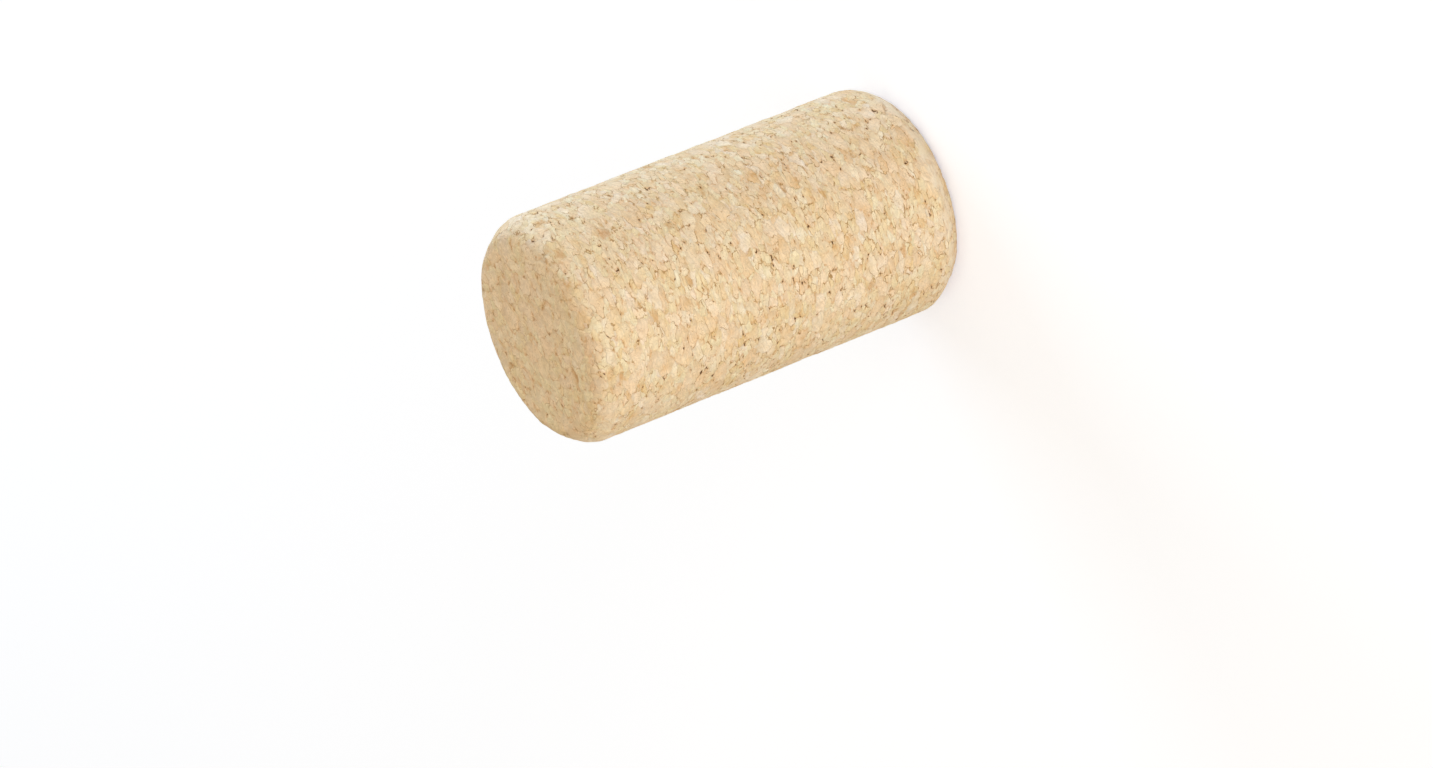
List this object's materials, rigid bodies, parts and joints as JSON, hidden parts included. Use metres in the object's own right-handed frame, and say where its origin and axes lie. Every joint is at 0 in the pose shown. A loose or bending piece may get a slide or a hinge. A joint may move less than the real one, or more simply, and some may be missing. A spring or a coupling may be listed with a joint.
{
  "type": "cork stopper",
  "caption": "Straight wine bottle stopper moulded from fine bonded cork granules, a plain round bar with flat ends and soft chamfered rims.",
  "frame": {"origin": "middle of the flat end that the stopper stands on", "axes": "+Z along the stopper's axis, from the end it stands on to the other end; it is round, so X and Y are alike"},
  "size_m": [0.024, 0.024, 0.044],
  "materials": {
    "cork_agglomerate": "matte, ground and tumbled, fine granules with thin brown joints and small open pits"
  },
  "bodies": {
    "root": {"stopper": "cork_agglomerate"}
  },
  "joints": []
}
